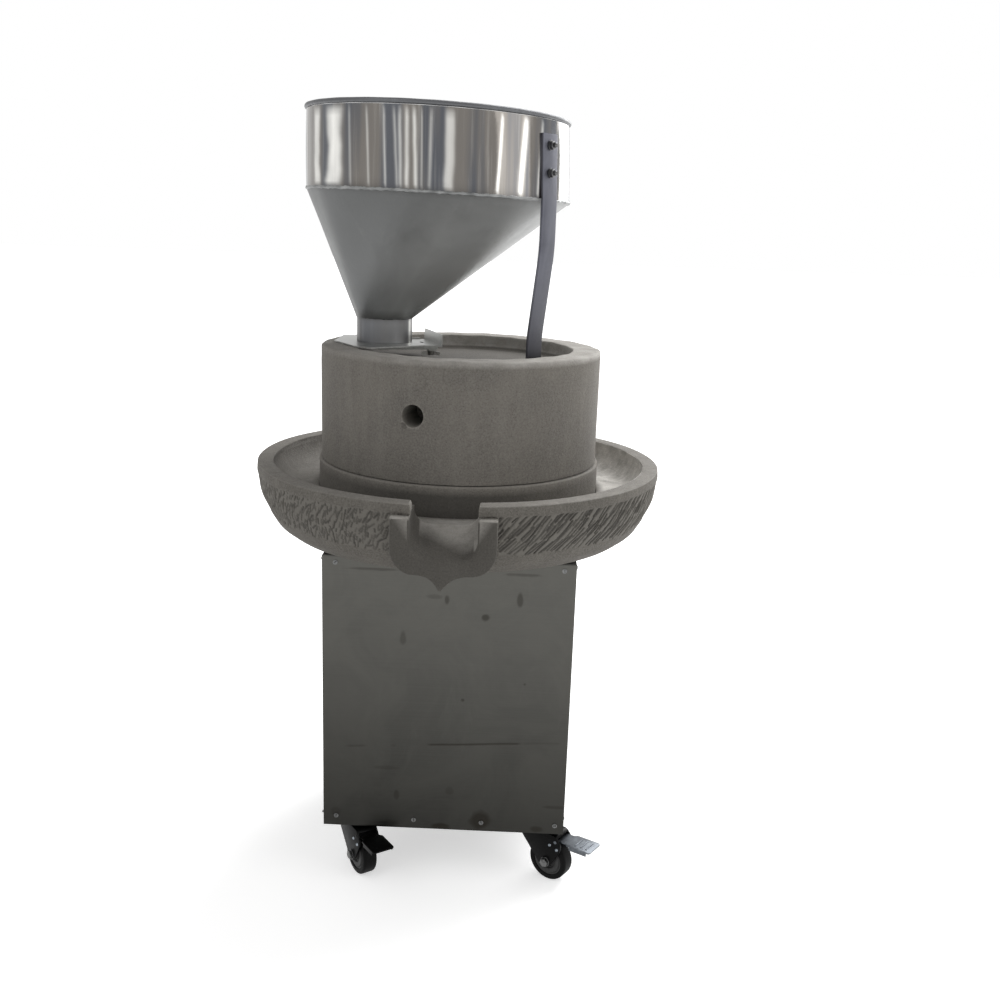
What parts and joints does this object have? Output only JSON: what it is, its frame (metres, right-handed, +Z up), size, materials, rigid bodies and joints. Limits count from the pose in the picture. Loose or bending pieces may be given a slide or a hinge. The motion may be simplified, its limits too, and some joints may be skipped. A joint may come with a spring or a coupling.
{
  "type": "stone flour mill",
  "caption": "Upright stone flour mill: runner stone with hopper over a bed stone in a spouted stone tray, on a wheeled steel cabinet with a gear motor.",
  "frame": {"origin": "on the floor, below the middle of the mill's bounding box; the stones' axis is at x 0, y 0.0035", "axes": "+Z up along the stones' axis, front with the spout towards -Y, +X to the right seen from the front"},
  "size_m": [0.602, 0.609, 1.1137],
  "materials": {
    "stone": "ground granite, warm grey",
    "tray_stone": "chiselled granite, warm grey",
    "cabinet_steel": "brushed, dull, stained",
    "polished_steel": "mirror polished",
    "cone_steel": "dull, smudged",
    "gate_steel": "cut sheet",
    "strap_steel": "dark bluish flat bar",
    "bright_steel": "machined",
    "frame_paint": "grey primer",
    "cast_iron": "painted casting",
    "terminal_box": "painted casting",
    "black_plastic": "moulded",
    "black_paint": "gloss black",
    "zinc": "zinc plated",
    "tyre": "black rubber",
    "wheel_grey": "grey moulded core"
  },
  "bodies": {
    "mill_base": {"cabinet_frame": "frame_paint", "base_plate": "frame_paint", "top_plate": "frame_paint", "front_panel": "cabinet_steel", "back_panel": "cabinet_steel", "left_panel": "cabinet_steel", "right_panel": "cabinet_steel", "stone_tray": "tray_stone", "bed_stone": "stone", "bearing_housing": "cast_iron", "main_bearing": "bright_steel", "reducer_housing": "cast_iron", "motor_housing": "cast_iron", "motor_end_shield": "cast_iron", "fan_cover": "black_plastic", "terminal_box": "terminal_box", "terminal_box_cover": "terminal_box", "cable_gland": "black_plastic", "switch_bezel": "black_plastic", "caster_plate_front_left": "black_paint", "caster_plate_front_right": "black_paint", "caster_plate_rear_left": "black_paint", "caster_plate_rear_right": "black_paint"},
    "runner": {"runner_stone": "stone", "driver_plate": "cast_iron", "main_shaft": "bright_steel", "shaft_coupling": "cast_iron", "output_shaft": "bright_steel", "hopper_barrel": "polished_steel", "hopper_cone": "cone_steel", "hopper_outlet": "polished_steel", "hopper_rim": "polished_steel", "feed_plate": "gate_steel", "hopper_strap": "strap_steel", "strap_bolt_upper": "bright_steel", "strap_bolt_lower": "bright_steel", "strap_anchor_bolt": "bright_steel"},
    "gate": {"slide_gate": "gate_steel"},
    "wing": {"wing_screw": "bright_steel"},
    "rotor": {"motor_rotor": "bright_steel"},
    "switch": {"switch_rocker": "black_plastic"},
    "fork_front_left": {"caster_fork_front_left": "black_paint", "caster_axle_front_left": "bright_steel"},
    "wheel_front_left": {"caster_tyre_front_left": "tyre", "caster_rim_front_left": "wheel_grey"},
    "pedal_front_left": {"brake_pedal_front_left": "black_paint"},
    "fork_front_right": {"caster_fork_front_right": "black_paint", "caster_axle_front_right": "bright_steel"},
    "wheel_front_right": {"caster_tyre_front_right": "tyre", "caster_rim_front_right": "wheel_grey"},
    "pedal_front_right": {"brake_pedal_front_right": "zinc"},
    "fork_rear_left": {"caster_fork_rear_left": "black_paint", "caster_axle_rear_left": "bright_steel"},
    "wheel_rear_left": {"caster_tyre_rear_left": "tyre", "caster_rim_rear_left": "wheel_grey"},
    "fork_rear_right": {"caster_fork_rear_right": "black_paint", "caster_axle_rear_right": "bright_steel"},
    "wheel_rear_right": {"caster_tyre_rear_right": "tyre", "caster_rim_rear_right": "wheel_grey"}
  },
  "joints": [
    {"name": "runner_spin", "type": "hinge", "parent": "mill_base", "child": "runner", "pos_m": [0, 0.0035, 0.7], "axis": [0, 0, 1], "continuous": true},
    {"name": "rotor_spin", "type": "hinge", "parent": "mill_base", "child": "rotor", "pos_m": [0, 0.0035, 0.3], "axis": [0, 0, 1], "continuous": true},
    {"name": "gate_slide", "type": "slide", "parent": "runner", "child": "gate", "axis": [0.9397, 0.342, 0], "range_m": [0, 0.055]},
    {"name": "wing_turn", "type": "hinge", "parent": "runner", "child": "wing", "pos_m": [-0.04441, -0.01639, 0.776], "axis": [0, 0, 1], "range_deg": [-180, 180]},
    {"name": "switch_rock", "type": "hinge", "parent": "mill_base", "child": "switch", "pos_m": [-0.125, 0.1818, 0.427], "axis": [1, 0, 0], "range_deg": [0, 20]},
    {"name": "swivel_front_left", "type": "hinge", "parent": "mill_base", "child": "fork_front_left", "pos_m": [-0.14, -0.1295, 0.075], "axis": [0, 0, 1], "continuous": true},
    {"name": "roll_front_left", "type": "hinge", "parent": "fork_front_left", "child": "wheel_front_left", "pos_m": [-0.12434, -0.15271, 0.032], "axis": [0.829, 0.5592, 0], "continuous": true},
    {"name": "brake_front_left", "type": "hinge", "parent": "fork_front_left", "child": "pedal_front_left", "pos_m": [-0.1154, -0.16598, 0.0699], "axis": [0.829, 0.5592, 0], "range_deg": [0, 18]},
    {"name": "swivel_front_right", "type": "hinge", "parent": "mill_base", "child": "fork_front_right", "pos_m": [0.14, -0.1295, 0.075], "axis": [0, 0, 1], "continuous": true},
    {"name": "roll_front_right", "type": "hinge", "parent": "fork_front_right", "child": "wheel_front_right", "pos_m": [0.16321, -0.14516, 0.032], "axis": [0.5592, 0.829, 0], "continuous": true},
    {"name": "brake_front_right", "type": "hinge", "parent": "fork_front_right", "child": "pedal_front_right", "pos_m": [0.17648, -0.1541, 0.0699], "axis": [0.5592, 0.829, 0], "range_deg": [0, 18]},
    {"name": "swivel_rear_left", "type": "hinge", "parent": "mill_base", "child": "fork_rear_left", "pos_m": [-0.14, 0.1365, 0.075], "axis": [0, 0, 1], "continuous": true},
    {"name": "roll_rear_left", "type": "hinge", "parent": "fork_rear_left", "child": "wheel_rear_left", "pos_m": [-0.126, 0.11225, 0.032], "axis": [0.866, 0.5, 0], "continuous": true},
    {"name": "swivel_rear_right", "type": "hinge", "parent": "mill_base", "child": "fork_rear_right", "pos_m": [0.14, 0.1365, 0.075], "axis": [0, 0, 1], "continuous": true},
    {"name": "roll_rear_right", "type": "hinge", "parent": "fork_rear_right", "child": "wheel_rear_right", "pos_m": [0.14293, 0.10865, 0.032], "axis": [0.9945, 0.1045, 0], "continuous": true}
  ],
  "couplings": [
    {"joint": "rotor_spin", "follows": "runner_spin", "ratio": -43}
  ]
}
